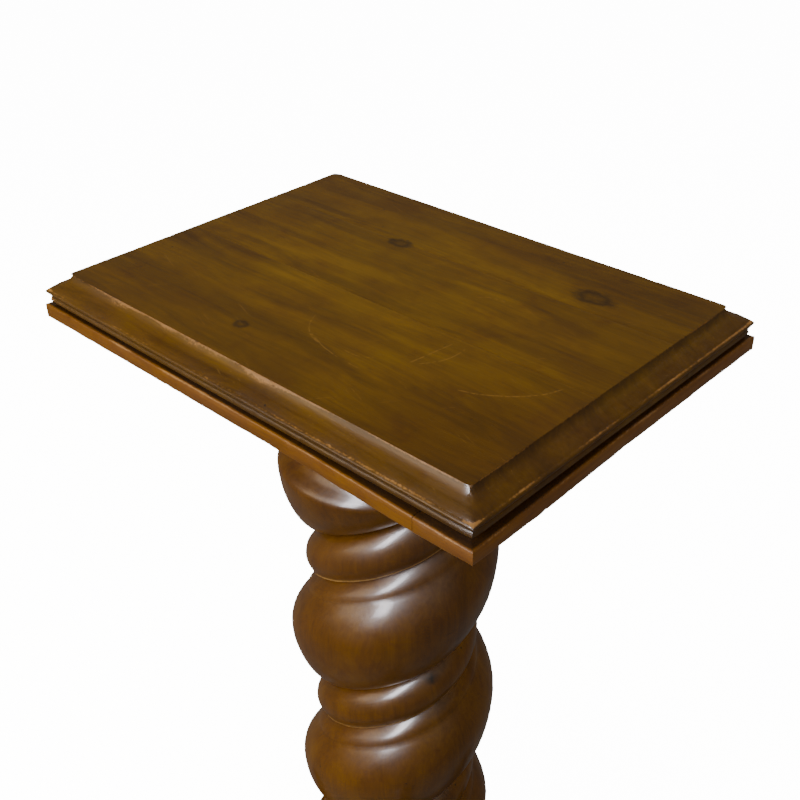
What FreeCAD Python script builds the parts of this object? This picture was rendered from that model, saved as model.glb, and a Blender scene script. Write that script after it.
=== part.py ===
"""Tilt top table: a moulded rectangular top that tilts on a barley-twist pedestal.

Millimetres, +Z up. The origin is on the floor, under the column's axis. X runs along
the top's long side and -Y is the front, where the top hangs once it is tilted up.
"""
import FreeCAD, Part
import math
import os
import re

import Sketcher

SIZES = {
    # the top: a raised field inside a moulded edge, in three glued boards
    "table_height": 760,
    "field_length": 400,
    "field_width": 282,
    "board_thick": 25,
    "joint_front": -21,
    "joint_rear": 69,
    # the edge moulding, outward from the field and down from its face
    "step_out": 2.5,
    "step_drop": 5.2,
    "rim_out": 16,
    "rim_drop": 14.6,
    "rim_face": 1.2,
    "ovolo_radius": 25,
    "bead_seat_out": 12.5,
    "bead_top_drop": 17,
    "bead_height": 5,
    "bead_radius": 2.55,
    "recess_out": 9,
    # the flat banding under the edge
    "banding_out": 17.5,
    "banding_width": 35,
    "banding_thick": 12,
    "patch_seam": 172,
    "banding_arris": 0.8,
    # the tilting gear
    "block_length": 170,
    "block_front": -100,
    "block_rear": 80,
    "block_thick": 45,
    "block_nose": 22,
    "pivot_inset": 20,
    "pin_radius": 6,
    "pin_in_block": 40,
    "bore_gap": 0.06,
    "bearer_gap": 1,
    "bearer_width": 30,
    "bearer_depth": 38,
    "bearer_reach": 118,
    "bearer_taper_start": 70,
    "bearer_tip_drop": 18,
    "counterbore_radius": 6,
    "counterbore_depth": 12,
    # the slide catch under the rear of the top, and its strike on the block
    "catch_front": 84,
    "catch_length": 37,
    "catch_width": 30,
    "catch_plate_thick": 2.5,
    "bolt_gap": 0.3,
    "bolt_width": 12,
    "bolt_thick": 5.5,
    "bolt_length": 37,
    "bolt_nose": 83,
    "guide_wall": 2.5,
    "guide_length": 4,
    "guide_front": 86,
    "guide_rear": 106,
    "stem_at": 102,
    "stem_radius": 2,
    "stem_length": 5,
    "knob_radius": 5.5,
    "knob_height": 9,
    "strike_width": 30,
    "strike_height": 15,
    "strike_thick": 1.5,
    "strike_clearance": 0.5,
    "strike_depth": 10,
    # the column
    "neck_radius": 78,
    "capital_radius": 80,
    "foot_radius": 80,
    "twist_bottom": 150,
    "twist_top": 632,
    "twist_pitch": 172,
    "twist_angle": 223.85,
    "twist_bead_height": 504,
    "roll_radius": 93,
    "companion_radius": 79,
    "notch_radius": 68,
    "companion_half": 21,
    "run_out": 16,
    "run_in": 40,
    "head_tenon_radius": 25,
    "foot_tenon_radius": 30,
    "wedge_thick": 3,
    "wedge_depth": 26,
    # the platform and its feet
    "platform_length": 400,
    "platform_width": 316,
    "ear_length": 48,
    "platform_curve_long": 248,
    "platform_curve_short": 112,
    "lower_thick": 28,
    "upper_thick": 20,
    "upper_inset": 8,
    "upper_round": 9,
    "lower_round": 3,
    "collar_radius": 90,
    "collar_height": 46,
    "collar_bead_height": 20,
    "collar_bead_radius": 10.5,
    "collar_lip_radius": 89,
    "collar_top_radius": 84,
    "foot_height": 56,
    "foot_bun_height": 46,
    "foot_pad_radius": 20,
    "foot_neck_radius": 19,
    "foot_bun_curve": 28,
    "foot_collar_radius": 25,
    "foot_collar_height": 7,
    "foot_spigot_radius": 11,
    "foot_spigot_length": 20,
    "foot_across": 166,
    "foot_along": 124,
    # the screws
    "steel_screw_shank": 2.2,
    "steel_screw_head": 4.4,
    "steel_screw_length": 38,
    "brass_screw_shank": 1.1,
    "brass_screw_head": 2.1,
    "brass_screw_length": 9,
}
TWIST_PHASES = 48
TWIST_RISE = 8.0

DOC = FreeCAD.newDocument("tilt_top_table")
UP = FreeCAD.Vector(0, 0, 1)
NO_TURN = FreeCAD.Rotation()


def make_sheet():
    """The driving dimensions, one aliased cell each."""
    sheet = DOC.addObject("Spreadsheet::Sheet", "Sizes")
    for row, (name, value) in enumerate(SIZES.items(), start=1):
        sheet.set("A%d" % row, name)
        sheet.set("B%d" % row, str(value))
        sheet.setAlias("B%d" % row, name)
    DOC.recompute()
    return sheet


SHEET = make_sheet()


def cell(text):
    """An expression in plain aliases, with each one pointed at the sheet."""
    return re.sub(r"[a-z]\w*", r"Sizes.\g<0>", str(text))


def size(name):
    return float(getattr(SHEET, name))


def plus(*terms):
    return " + ".join("(%s)" % term for term in terms)


def minus(term):
    return "-(%s)" % term


def bind(piece, **expressions):
    """Ties properties of a piece to expressions of the sheet's cells."""
    for name, text in expressions.items():
        piece.setExpression(name, cell(text))
    return piece


def place(piece, x, y, z, turn=NO_TURN):
    piece.Placement = FreeCAD.Placement(FreeCAD.Vector(), turn)
    for axis, text in zip("xyz", (x, y, z)):
        piece.setExpression("Placement.Base." + axis, cell(text))
    return piece


def box(name, x, y, z, length, width, height):
    """A box centred on x and y, standing on z."""
    piece = DOC.addObject("Part::Box", name)
    bind(piece, Length=length, Width=width, Height=height)
    return place(piece, plus(x, "-(%s) / 2" % length), plus(y, "-(%s) / 2" % width), z)


def cylinder(name, radius, height, x, y, z, turn=NO_TURN):
    piece = DOC.addObject("Part::Cylinder", name)
    bind(piece, Radius=radius, Height=height)
    return place(piece, x, y, z, turn)


def boolean(kind, name, base, tool):
    piece = DOC.addObject("Part::" + kind, name)
    piece.Base = base
    piece.Tool = tool
    return piece


def cut(name, base, *tools):
    """Cuts the tools away one after another; the last result carries the name."""
    for index, tool in enumerate(tools, start=1):
        step = name if index == len(tools) else "%s_cut_%d" % (name, index)
        base = boolean("Cut", step, base, tool)
    return base


def group(name, pieces):
    piece = DOC.addObject("Part::Compound", name)
    piece.Links = pieces
    return piece


def origin_plane(body, role):
    return next(plane for plane in body.Origin.OriginFeatures if plane.Role == role)


def add_side(sketch, start, end, bend):
    """One side of an outline. A bend is an arc's radius, negative for a clockwise arc."""
    if not bend:
        return sketch.addGeometry(Part.LineSegment(start, end), False)
    chord = end - start
    reach = math.sqrt(max(bend * bend - chord.Length ** 2 / 4, 0))
    left = UP.cross(chord).normalize() * math.copysign(reach, bend)
    centre = (start + end) * 0.5 + left
    first, last = (start, end) if bend > 0 else (end, start)
    angles = [math.atan2(point.y - centre.y, point.x - centre.x) for point in (first, last)]
    circle = Part.Circle(centre, UP, abs(bend))
    return sketch.addGeometry(Part.ArcOfCircle(circle, angles[0], angles[1]), False)


def constrain(sketch, expression, *terms):
    index = sketch.addConstraint(Sketcher.Constraint(*terms))
    if expression is not None:
        sketch.setExpression("Constraints[%d]" % index, cell(expression))


def outline(body, name, role, corners):
    """A closed sketch through (x, y) corners; a third entry bends the side that follows."""
    sketch = body.newObject("Sketcher::SketchObject", name)
    sketch.AttachmentSupport = [(origin_plane(body, role), "")]
    sketch.MapMode = "FlatFace"
    bends = [corner[2] if len(corner) > 2 else "0" for corner in corners]
    points = [FreeCAD.Vector(number(corner[0]), number(corner[1]), 0) for corner in corners]
    sides = []
    for index, point in enumerate(points):
        following = points[(index + 1) % len(points)]
        sides.append(add_side(sketch, point, following, number(bends[index])))
    ends = [(2, 1) if number(bend) < 0 else (1, 2) for bend in bends]
    for index, side in enumerate(sides):
        first = ends[index][0]
        constrain(sketch, None, "Coincident", sides[index - 1], ends[index - 1][1], side, first)
        constrain(sketch, corners[index][0], "DistanceX", -1, 1, side, first, points[index].x)
        constrain(sketch, corners[index][1], "DistanceY", -1, 1, side, first, points[index].y)
        radius = abs(number(bends[index]))
        if radius:
            constrain(sketch, bends[index].lstrip("-"), "Radius", side, radius)
    return sketch


def number(text):
    """The value of an expression of the sheet's cells."""
    value = SHEET.evalExpression(cell(text))
    return float(getattr(value, "Value", value))


def new_body(name):
    return DOC.addObject("PartDesign::Body", name)


def padded(name, role, corners, length, both_ways=False):
    """A body with one outline, padded."""
    body = new_body(name)
    pad = body.newObject("PartDesign::Pad", name + "_pad")
    pad.Profile = outline(body, name + "_outline", role, corners)
    pad.SideType = "Symmetric" if both_ways else "One side"
    bind(pad, Length=length)
    return body


def turned(name, corners):
    """A body turned on a lathe: an outline of (radius, height) corners round the Z axis."""
    body = new_body(name)
    turning = body.newObject("PartDesign::Revolution", name + "_turning")
    turning.Profile = outline(body, name + "_outline", "XZ_Plane", corners)
    turning.ReferenceAxis = (origin_plane(body, "Z_Axis"), [""])
    turning.Angle = 360
    return body


def round_edges(body, radius, wanted):
    """Fillets the edges of the body's last feature that the test picks."""
    DOC.recompute()
    base = body.Tip
    fillet = body.newObject("PartDesign::Fillet", body.Name + "_round")
    edges = enumerate(base.Shape.Edges, start=1)
    fillet.Base = (base, ["Edge%d" % index for index, edge in edges if wanted(edge)])
    bind(fillet, Radius=radius)
    return body


def at_height(level):
    """A test for edges that lie flat at one height of the body's own frame."""
    def lies_there(edge):
        bounds = edge.BoundBox
        return abs(bounds.ZMin - level) < 0.01 and abs(bounds.ZMax - level) < 0.01
    return lies_there


def screw(name, kind, x, y, z, turn=NO_TURN):
    """A countersunk screw: its head's face at x, y, z, its shank along the turned Z axis."""
    shank, head, length = ("%s_screw_%s" % (kind, part) for part in ("shank", "head", "length"))
    shaft = DOC.addObject("Part::Cylinder", name + "_shank")
    bind(shaft, Radius=shank, Height=length)
    cone = DOC.addObject("Part::Cone", name + "_head")
    bind(cone, Radius1=head, Radius2=shank, Height="%s - %s" % (head, shank))
    return place(boolean("Fuse", name, shaft, cone), x, y, z, turn)


# ---------------------------------------------------------------- the top

def edge_profile(half):
    """Half the top's section, from the field's arris down the moulding to the underside."""
    return [
        (half, "0"),
        (half + " + step_out", "-step_drop", "-ovolo_radius"),
        (half + " + rim_out", "-rim_drop"),
        (half + " + rim_out", "-rim_drop - rim_face"),
        (half + " + bead_seat_out", "-rim_drop - rim_face"),
        (half + " + bead_seat_out", "-bead_top_drop", "-bead_radius"),
        (half + " + bead_seat_out", "-bead_top_drop - bead_height"),
        (half + " + recess_out", "-bead_top_drop - bead_height"),
        (half + " + recess_out", "-board_thick"),
    ]


def mirrored(corners):
    """The outline made of the corners and their mirror image in the Y axis."""
    other = []
    for index in range(len(corners) - 1, -1, -1):
        bend = corners[index - 1][2:] if index else ()
        other.append((minus(corners[index][0]), corners[index][1]) + bend)
    return list(corners) + other


def moulded_blank():
    """The moulded top in one piece: two sections, each run the other's way, in common."""
    along = padded("blank_along", "XZ_Plane", mirrored(edge_profile("field_length / 2")),
                   "field_width + 4 * rim_out", both_ways=True)
    across = padded("blank_across", "YZ_Plane", mirrored(edge_profile("field_width / 2")),
                    "field_length + 4 * rim_out", both_ways=True)
    for body in (along, across):
        place(body, "0", "0", "table_height")
    return boolean("Common", "blank", along, across)


def top_boards(blank, screws):
    """Three boards with the grain along X, glued edge to edge."""
    outer = "field_width / 2 + 2 * rim_out"
    lines = [minus(outer), "joint_front", "joint_rear", outer]
    boards = []
    for index, name in enumerate(("front", "middle", "rear")):
        near, far = lines[index], lines[index + 1]
        slab = box(name + "_slab", "0", "(%s) / 2" % plus(near, far), "0",
                   "field_length + 4 * rim_out", plus(far, minus(near)), "table_height + 1")
        sawn = boolean("Common", name + "_sawn", blank, slab)
        boards.append(cut("top_board_" + name, sawn, screws))
    return boards


def banding_strip(name, corners):
    strip = padded(name, "XY_Plane", corners, "banding_thick")
    outer = [size("field_length") / 2 + size("banding_out"), size("field_width") / 2 + size("banding_out")]

    def is_worn_edge(edge):
        middle = edge.BoundBox.Center
        on_outside = abs(abs(middle.x) - outer[0]) < 0.01 or abs(abs(middle.y) - outer[1]) < 0.01
        return on_outside and edge.BoundBox.ZLength < 0.01 and edge.Length > size("banding_thick") * 2
    round_edges(strip, "banding_arris", is_worn_edge)
    return place(strip, "0", "0", "table_height - board_thick - banding_thick")


def banding():
    """Four mitred strips; the front one ends in a let-in patch at its right corner."""
    x_out, y_out = "field_length / 2 + banding_out", "field_width / 2 + banding_out"
    x_in, y_in = x_out + " - banding_width", y_out + " - banding_width"
    seam = "patch_seam"
    front, rear, left, right = minus(y_out), y_out, minus(x_out), x_out
    front_in, left_in = minus(y_in), minus(x_in)
    outlines = {
        "banding_front": [(left, front), (seam, front), (seam, front_in), (left_in, front_in)],
        "banding_patch": [(seam, front), (right, front), (x_in, front_in), (seam, front_in)],
        "banding_right": [(right, front), (right, rear), (x_in, y_in), (x_in, front_in)],
        "banding_rear": [(right, rear), (left, rear), (left_in, y_in), (x_in, y_in)],
        "banding_left": [(left, rear), (left, front), (left_in, front_in), (left_in, y_in)],
    }
    return [banding_strip(name, corners) for name, corners in outlines.items()]


# ---------------------------------------------------------------- the tilting gear

UNDERSIDE = "table_height - board_thick"
PIVOT_Y = "block_front + pivot_inset"
PIVOT_Z = "table_height - board_thick - pivot_inset"
SIDES = {"left": "-1", "right": "1"}
BEARER_SCREWS = {"front": "-50", "middle": "24", "rear": "90"}


def bearer_middle(side):
    return "%s * (block_length / 2 + bearer_gap + bearer_width / 2)" % SIDES[side]


def bearer_screws():
    """Three screws up through each bearer, one into each board."""
    screws = []
    for side in SIDES:
        for spot, y in BEARER_SCREWS.items():
            screws.append(screw("bearer_screw_%s_%s" % (side, spot), "steel", bearer_middle(side), y,
                                UNDERSIDE + " - bearer_depth + counterbore_depth"))
    return group("bearer_screws", screws)


def counterbores():
    holes = []
    for side in SIDES:
        for spot, y in BEARER_SCREWS.items():
            holes.append(cylinder("counterbore_%s_%s" % (side, spot), "counterbore_radius",
                                  "counterbore_depth", bearer_middle(side), y,
                                  UNDERSIDE + " - bearer_depth"))
    return group("counterbores", holes)


def pivot_pins():
    """A steel pin driven through each bearer into a running bore in the block."""
    pins = {}
    toward_x = FreeCAD.Rotation(FreeCAD.Vector(0, 1, 0), 90)
    length = "bearer_width + bearer_gap + pin_in_block"
    starts = {"left": "-(block_length / 2 + bearer_gap + bearer_width)",
              "right": "block_length / 2 - pin_in_block"}
    for side, start in starts.items():
        pins[side] = cylinder("pivot_pin_" + side, "pin_radius", length, start, PIVOT_Y, PIVOT_Z, toward_x)
    return pins


def bearers(pins, screws, holes):
    """Two battens across the grain that carry the top on the pins."""
    corners = [
        ("-bearer_reach", "0"),
        ("-bearer_reach", "-bearer_tip_drop - 5"),
        ("-bearer_reach + 12", "-bearer_depth"),
        ("bearer_taper_start", "-bearer_depth"),
        ("bearer_reach", "-bearer_tip_drop"),
        ("bearer_reach", "0"),
    ]
    pieces = []
    for side in SIDES:
        batten = padded("batten_" + side, "YZ_Plane", corners, "bearer_width", both_ways=True)
        place(batten, bearer_middle(side), "0", UNDERSIDE)
        pieces.append(cut("bearer_" + side, batten, pins[side], holes, screws))
    return pieces


def tilt_block(strike_screws):
    """The block on the column's head. Its front nose clears the top as it turns."""
    corners = [
        ("block_front", "-block_thick"),
        ("block_rear", "-block_thick"),
        ("block_rear", "0"),
        ("block_front + block_nose", "0", "block_nose"),
        ("block_front", "-block_nose"),
    ]
    blank = padded("block_blank", "YZ_Plane", corners, "block_length", both_ways=True)
    place(blank, "0", "0", UNDERSIDE)
    toward_x = FreeCAD.Rotation(FreeCAD.Vector(0, 1, 0), 90)
    bores = [cylinder("pin_bore_" + side, "pin_radius + bore_gap", "pin_in_block + 2",
                      start, PIVOT_Y, PIVOT_Z, toward_x)
             for side, start in (("left", "-block_length / 2"),
                                 ("right", "block_length / 2 - pin_in_block - 2"))]
    mortise = box("strike_mortise", "0", "block_rear - strike_depth / 2", BOLT_Z + " - strike_clearance",
                  "bolt_width + 2 * strike_clearance", "strike_depth", "bolt_thick + 2 * strike_clearance")
    seat = box("strike_seat", "0", "block_rear - strike_thick / 2", STRIKE_Z,
               "strike_width", "strike_thick", "strike_height")
    tenon_hole = cylinder("head_mortise", "head_tenon_radius", "block_thick", "0", "0",
                          UNDERSIDE + " - block_thick")
    return cut("tilt_block", blank, tenon_hole, *bores, mortise, seat, strike_screws)


# ---------------------------------------------------------------- the slide catch

BOLT_Z = UNDERSIDE + " - catch_plate_thick - bolt_gap - bolt_thick"
STRIKE_Z = UNDERSIDE + " - strike_height - 0.5"


def catch_screws():
    screws = []
    for side, sign in SIDES.items():
        for spot, y in (("front", "catch_front + 11"), ("rear", "catch_front + 32")):
            screws.append(screw("catch_screw_%s_%s" % (side, spot), "brass",
                                "%s * (catch_width / 2 - 3.2)" % sign, y,
                                UNDERSIDE + " - catch_plate_thick"))
    return group("catch_screws", screws)


def catch_plate(screws):
    plate = box("catch_plate_blank", "0", "catch_front + catch_length / 2",
                UNDERSIDE + " - catch_plate_thick", "catch_width", "catch_length", "catch_plate_thick")
    return cut("catch_plate", plate, screws)


def catch_guides():
    """Two brass bridges that hold the bolt to its plate."""
    bridges = []
    depth = "bolt_thick + 2 * bolt_gap"
    for spot in ("front", "rear"):
        y = "guide_%s + guide_length / 2" % spot
        outer = box("guide_outer_" + spot, "0", y, BOLT_Z + " - bolt_gap - guide_wall + 0.4",
                    "bolt_width + 2 * bolt_gap + 2 * guide_wall", "guide_length",
                    depth + " + guide_wall - 0.4")
        inner = box("guide_inner_" + spot, "0", y, BOLT_Z + " - bolt_gap",
                    "bolt_width + 2 * bolt_gap", "guide_length", depth)
        bridges.append(cut("guide_" + spot, outer, inner))
    return group("catch_guides", bridges)


def catch_bolt():
    return box("catch_bolt", "0", "bolt_nose + bolt_length / 2", BOLT_Z,
               "bolt_width", "bolt_length", "bolt_thick")


def catch_knob():
    """A small turned knob on a stem, riveted to the bolt's underside."""
    knob = turned("catch_knob", [
        ("0", "0"),
        ("stem_radius", "0"),
        ("stem_radius", "-stem_length"),
        ("knob_radius - 0.5", "-stem_length - 2", "-knob_radius"),
        ("stem_radius", "-stem_length - knob_height"),
        ("0", "-stem_length - knob_height"),
    ])
    return place(knob, "0", "stem_at", BOLT_Z)


def strike_screws():
    into_block = FreeCAD.Rotation(FreeCAD.Vector(1, 0, 0), 90)
    screws = [screw("strike_screw_" + side, "brass", "%s * (strike_width / 2 - 3.5)" % sign,
                    "block_rear", STRIKE_Z + " + strike_height / 2", into_block)
              for side, sign in SIDES.items()]
    return group("strike_screws", screws)


def strike_plate(screws):
    plate = box("strike_blank", "0", "block_rear - strike_thick / 2", STRIKE_Z,
                "strike_width", "strike_thick", "strike_height")
    slot = box("strike_slot", "0", "block_rear - strike_thick / 2", BOLT_Z + " - strike_clearance",
               "bolt_width + 2 * strike_clearance", "2 * strike_thick",
               "bolt_thick + 2 * strike_clearance")
    return cut("strike_plate", plate, slot, screws)


# ---------------------------------------------------------------- the column

def smooth(value):
    """0 below 0, 1 above 1, and an easy slope between."""
    share = min(max(value, 0.0), 1.0)
    return share * share * (3 - 2 * share)


def twist_radius(rise):
    """The twist's radius a given rise above the middle of the companion bead."""
    half = size("companion_half")
    notch = size("notch_radius")
    if abs(rise) <= half:
        swell = math.sqrt(max(1 - (rise / half) ** 2, 0))
        return notch + (size("companion_radius") - notch) * swell
    span = size("twist_pitch") / 2 - half
    share = (abs(abs(rise) - size("twist_pitch") / 2)) / span
    return notch + (size("roll_radius") - notch) * math.sqrt(max(1 - share ** 2.4, 0))


def twist_rises():
    """Rises round one turn, closer together near the notches."""
    half = size("companion_half")
    span = size("twist_pitch") / 2 - half
    bead_steps = TWIST_PHASES // 4
    roll_steps = TWIST_PHASES - bead_steps
    bead = [-half * math.cos(math.pi * step / bead_steps) for step in range(bead_steps)]
    roll = [half + span * (1 - math.cos(math.pi * step / roll_steps)) for step in range(roll_steps)]
    return bead + roll + [size("twist_pitch") - half]


def twist_point(rise, height):
    """A point of the right-handed twist, eased to a plain round at both ends."""
    bottom, top = size("twist_bottom"), size("twist_top")
    pitch = size("twist_pitch")
    wrapped = rise if rise <= pitch / 2 else rise - pitch
    share = smooth((height - bottom) / size("run_in")) * smooth((top - height) / size("run_out"))
    low_radius, high_radius = size("foot_radius"), size("neck_radius")
    plain = low_radius if height < (bottom + top) / 2 else high_radius
    radius = plain + (twist_radius(wrapped) - plain) * share
    turn = (height - rise - size("twist_bead_height")) / pitch
    angle = math.radians(size("twist_angle")) + 2 * math.pi * turn
    return FreeCAD.Vector(radius * math.cos(angle), radius * math.sin(angle), height)


def twist_shaft():
    """The carved twist as one surface woven from helical lines, capped at both ends."""
    bottom, top = size("twist_bottom"), size("twist_top")
    levels = round((top - bottom) / TWIST_RISE)
    heights = [bottom + (top - bottom) * level / levels for level in range(levels + 1)]
    grid = [[twist_point(rise, height) for height in heights] for rise in twist_rises()]
    surface = Part.BSplineSurface()
    surface.interpolate(grid)
    side = surface.toShape()
    flat_edges = [edge for edge in side.Edges if edge.BoundBox.ZLength < 0.01]
    caps = [Part.Face(Part.Wire([edge])) for edge in flat_edges]
    solid = Part.Solid(Part.Shell([side] + caps))
    solid.fix(0.01, 0.01, 0.01)
    shaft = DOC.addObject("Part::Feature", "twist_shaft")
    shaft.Shape = solid
    return shaft


def column(shaft, wedges):
    """The twist between a turned neck and foot, each with a tenon."""
    neck = turned("column_neck", [
        ("0", "twist_top"),
        ("neck_radius", "twist_top"),
        ("neck_radius", "twist_top + 6"),
        ("neck_radius - 6", "twist_top + 10", "-26"),
        ("neck_radius - 6", UNDERSIDE + " - block_thick - 14"),
        ("capital_radius", UNDERSIDE + " - block_thick - 10"),
        ("capital_radius", UNDERSIDE + " - block_thick"),
        ("head_tenon_radius", UNDERSIDE + " - block_thick"),
        ("head_tenon_radius", UNDERSIDE + " - 1"),
        ("0", UNDERSIDE + " - 1"),
    ])
    deck = "foot_height + lower_thick + upper_thick"
    foot = turned("column_foot", [
        ("0", "foot_height + 4"),
        ("foot_tenon_radius", "foot_height + 4"),
        ("foot_tenon_radius", deck),
        ("foot_radius", deck),
        ("foot_radius", "twist_bottom"),
        ("0", "twist_bottom"),
    ])
    joined = boolean("Fuse", "column_upper", shaft, neck)
    whole = boolean("Fuse", "column_whole", joined, foot)
    return cut("column", whole, *wedges)


def tenon_wedges():
    """A pair of hardwood wedges in each tenon's end, set across the grain."""
    pairs = []
    ends = {"head_wedges": ("head_tenon_radius", UNDERSIDE + " - 1 - wedge_depth"),
            "foot_wedges": ("foot_tenon_radius", "foot_height + 4")}
    for name, (radius, start) in ends.items():
        wedges = [box("%s_%s" % (name, side), "%s * %s * 0.4" % (sign, radius), "0", start,
                      "wedge_thick", "%s * 1.6" % radius, "wedge_depth")
                  for side, sign in SIDES.items()]
        pairs.append(group(name, wedges))
    return pairs


def base_collar():
    """The turned ring round the column's foot."""
    deck = "foot_height + lower_thick + upper_thick"
    return turned("base_collar", [
        ("foot_radius", deck),
        ("collar_radius", deck, "collar_bead_radius"),
        ("collar_radius", deck + " + collar_bead_height"),
        ("collar_lip_radius", deck + " + collar_bead_height"),
        ("collar_lip_radius", deck + " + collar_bead_height + 4", "-24"),
        ("collar_top_radius", deck + " + collar_height"),
        ("foot_radius", deck + " + collar_height"),
    ])


# ---------------------------------------------------------------- the platform and its feet

def concave_outline(inset):
    """A rectangle with square ears and a hollow curve between them on every side."""
    far, deep = "platform_length / 2 - (%s)" % inset, "platform_width / 2 - (%s)" % inset
    ear_x = "platform_length / 2 - ear_length"
    ear_y = "platform_width / 2 - ear_length"
    return [
        (far, minus(deep)),
        (far, minus(ear_y), "-platform_curve_short"),
        (far, ear_y),
        (far, deep),
        (ear_x, deep, "-platform_curve_long"),
        (minus(ear_x), deep),
        (minus(far), deep),
        (minus(far), ear_y, "-platform_curve_short"),
        (minus(far), minus(ear_y)),
        (minus(far), minus(deep)),
        (minus(ear_x), minus(deep), "-platform_curve_long"),
        (ear_x, minus(deep)),
    ]


def platform_board(name, inset, thick, height, rounding, *tools):
    board = padded(name + "_blank", "XY_Plane", concave_outline(inset), thick)
    round_edges(board, rounding, at_height(size(thick)))
    place(board, "0", "0", height)
    tenon_hole = cylinder(name + "_mortise", "foot_tenon_radius", thick, "0", "0", height)
    return cut(name, board, tenon_hole, *tools)


def platform_screws():
    """Six screws up through the lower board into the upper one."""
    screws = []
    for side, sign in SIDES.items():
        for spot, (x, y) in {"front": ("115", "-78"), "middle": ("60", "0"), "rear": ("115", "78")}.items():
            screws.append(screw("platform_screw_%s_%s" % (side, spot), "steel",
                                "%s * %s" % (sign, x), y, "foot_height"))
    return group("platform_screws", screws)


def bun_foot(name, x, y):
    foot = turned(name, [
        ("0", "0"),
        ("foot_pad_radius", "0", "foot_bun_curve"),
        ("foot_neck_radius", "foot_bun_height"),
        ("foot_collar_radius", "foot_height - foot_collar_height"),
        ("foot_collar_radius", "foot_height"),
        ("foot_spigot_radius", "foot_height"),
        ("foot_spigot_radius", "foot_height + foot_spigot_length"),
        ("0", "foot_height + foot_spigot_length"),
    ])
    return place(foot, x, y, "0")


def bun_feet():
    return [bun_foot("foot_%s_%s" % (end, side), "%s * foot_across" % sign, "%s * foot_along" % way)
            for end, way in (("front", "-1"), ("rear", "1")) for side, sign in SIDES.items()]


# ---------------------------------------------------------------- the whole table

def build_table():
    """Every sub-part, in the order that it would be put together."""
    feet = bun_feet()
    deck_screws = platform_screws()
    head_wedges, foot_wedges = tenon_wedges()
    post = column(twist_shaft(), (head_wedges, foot_wedges))
    lower = platform_board("platform_lower", "0", "lower_thick", "foot_height", "lower_round",
                           deck_screws, *feet)
    upper = platform_board("platform_upper", "upper_inset", "upper_thick", "foot_height + lower_thick",
                           "upper_round", deck_screws)
    struck = strike_screws()
    strike = strike_plate(struck)
    block = tilt_block(struck)
    pins = pivot_pins()
    batten_screws = bearer_screws()
    battens = bearers(pins, batten_screws, counterbores())
    plate_screws = catch_screws()
    boards = top_boards(moulded_blank(), group("top_screws", [batten_screws, plate_screws]))
    return (feet + [deck_screws, lower, upper, base_collar(), post, head_wedges, foot_wedges, block,
                    strike, struck] + list(pins.values()) + battens + [batten_screws]
            + boards + banding() + [catch_plate(plate_screws), catch_guides(), plate_screws,
                                    catch_bolt(), catch_knob()])


def check_document():
    for piece in DOC.Objects:
        faults = [state for state in piece.State if state in ("Invalid", "Error")]
        if faults:
            raise RuntimeError("%s failed: %s" % (piece.Name, piece.State))


def write_parts(pieces):
    """Checks every object, then writes one file per sub-part."""
    check_document()
    for piece in pieces:
        if piece.Shape.isNull() or not piece.Shape.isValid():
            raise RuntimeError("%s has no valid shape" % piece.Label)
    os.makedirs("parts", exist_ok=True)
    for piece in pieces:
        piece.Shape.exportStep(os.path.join("parts", piece.Label + ".step"))
        bounds = piece.Shape.BoundBox
        print("%-22s solids %2d  volume %10.0f  x %7.1f %7.1f  y %7.1f %7.1f  z %6.1f %6.1f" % (
            piece.Label, len(piece.Shape.Solids), piece.Shape.Volume, bounds.XMin, bounds.XMax,
            bounds.YMin, bounds.YMax, bounds.ZMin, bounds.ZMax))
    print("sub-parts:", len(pieces))


def main():
    pieces = build_table()
    DOC.recompute()
    write_parts(pieces)


main()
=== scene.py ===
import math

import bmesh
import bpy
from mathutils import Matrix, Vector, noise


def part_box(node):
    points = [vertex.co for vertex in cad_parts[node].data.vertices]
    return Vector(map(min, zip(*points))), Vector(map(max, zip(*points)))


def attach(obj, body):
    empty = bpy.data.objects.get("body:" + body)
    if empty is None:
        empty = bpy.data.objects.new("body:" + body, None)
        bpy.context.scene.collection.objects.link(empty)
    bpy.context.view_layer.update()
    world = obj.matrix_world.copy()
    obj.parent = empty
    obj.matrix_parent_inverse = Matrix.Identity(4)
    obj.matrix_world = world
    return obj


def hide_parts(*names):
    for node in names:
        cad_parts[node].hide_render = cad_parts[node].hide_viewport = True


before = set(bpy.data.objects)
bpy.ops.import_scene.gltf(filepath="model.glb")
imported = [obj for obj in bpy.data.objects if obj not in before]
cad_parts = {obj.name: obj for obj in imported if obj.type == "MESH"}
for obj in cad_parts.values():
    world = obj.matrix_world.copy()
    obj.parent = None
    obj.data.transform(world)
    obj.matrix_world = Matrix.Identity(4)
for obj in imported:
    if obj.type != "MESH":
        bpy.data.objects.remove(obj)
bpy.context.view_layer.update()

MM = 0.001


def node_box(node):
    """A CAD node's lowest and highest corners, in millimetres."""
    return [Vector(corner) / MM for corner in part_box(node)]


BOARD_LOW, BOARD_HIGH = node_box("top_board_front")
JOINT_FRONT = node_box("top_board_middle")[0].y
JOINT_REAR = node_box("top_board_middle")[1].y
BAND_LOW, BAND_HIGH = node_box("banding_right")
TOP_Z = BOARD_HIGH.z
BOARD_THICK = BOARD_HIGH.z - BOARD_LOW.z
RIM_OUT = 16.0
FIELD_X = BOARD_HIGH.x - RIM_OUT
FIELD_Y = -BOARD_LOW.y - RIM_OUT
WEB_STEP = 3
CORNER_LENGTH = 4


# ---------------------------------------------------------------- mesh helpers

def ease(value):
    """0 below 0, 1 above 1, and an easy slope between."""
    share = min(max(value, 0.0), 1.0)
    return share * share * (3 - 2 * share)


def rough(point, grain, seed):
    """Smooth noise from -1 to 1 that changes over about one grain size."""
    return noise.noise(Vector(point) / grain + Vector((seed, 7.3 * seed, -3.1 * seed)))


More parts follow.
